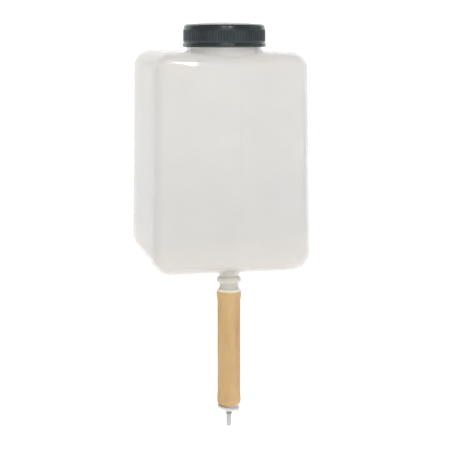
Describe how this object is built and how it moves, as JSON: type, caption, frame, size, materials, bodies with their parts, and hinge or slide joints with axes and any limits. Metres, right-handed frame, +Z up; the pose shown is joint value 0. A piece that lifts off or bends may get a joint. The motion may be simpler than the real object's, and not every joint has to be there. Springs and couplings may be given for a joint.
{
  "type": "gravity feeding bottle",
  "caption": "Translucent blow-moulded feeding tank with a dark ribbed screw cap, an amber latex squeeze tube under its spout and a self-closing nozzle plug.",
  "frame": {"origin": "middle of the tank's flat underside", "axes": "+Z up through the tank, -Y the front, where the neck and the spout stand, +X to the right as seen from the front"},
  "size_m": [0.1166, 0.1208, 0.2968],
  "materials": {
    "tank_plastic": "translucent natural polyethylene, softly glossy",
    "cap_plastic": "dark slate, semi-gloss",
    "liner": "foamed sealing disc",
    "valve_plastic": "natural moulded plastic",
    "latex": "amber gum latex, satin",
    "nozzle_plastic": "natural moulded plastic",
    "stem_plastic": "smooth moulded plastic",
    "seal_rubber": "black nitrile",
    "spring_steel": "drawn stainless wire"
  },
  "bodies": {
    "tank": {"tank": "tank_plastic", "inlet_seat": "valve_plastic", "inlet_cage": "valve_plastic", "latex_tube": "latex"},
    "liner": {"cap_liner": "liner"},
    "cap": {"cap_shell": "cap_plastic"},
    "inlet_ball": {"inlet_ball": "valve_plastic"},
    "nozzle": {"nozzle_body": "nozzle_plastic", "outlet_seat": "valve_plastic", "valve_spring": "spring_steel"},
    "valve": {"valve_stem": "stem_plastic", "stem_seal": "seal_rubber"}
  },
  "joints": [
    {"name": "cap_rise", "type": "slide", "parent": "tank", "child": "liner", "axis": [0, 0, 1], "range_m": [0, 0.015]},
    {"name": "cap_turn", "type": "hinge", "parent": "liner", "child": "cap", "pos_m": [0, -0.026, 0.165], "axis": [0, 0, 1], "range_deg": [0, 1260]},
    {"name": "inlet_ball_lift", "type": "slide", "parent": "tank", "child": "inlet_ball", "axis": [0, 0, 1], "range_m": [0, 0.0019]},
    {"name": "tube_bend", "type": "hinge", "parent": "tank", "child": "nozzle", "pos_m": [0, -0.0425, -0.0567], "axis": [1, 0, 0], "range_deg": [-35, 35], "stiffness_Nm_per_rad": 0.05, "deforming": ["latex_tube"]},
    {"name": "valve_travel", "type": "slide", "parent": "nozzle", "child": "valve", "axis": [0, 0, -1], "range_m": [0, 0.0024], "stiffness_N_per_m": 100, "deforming": ["valve_spring"]}
  ],
  "couplings": [
    {"joint": "cap_rise", "follows": "cap_turn", "m_per_rad": 0.00067375}
  ]
}
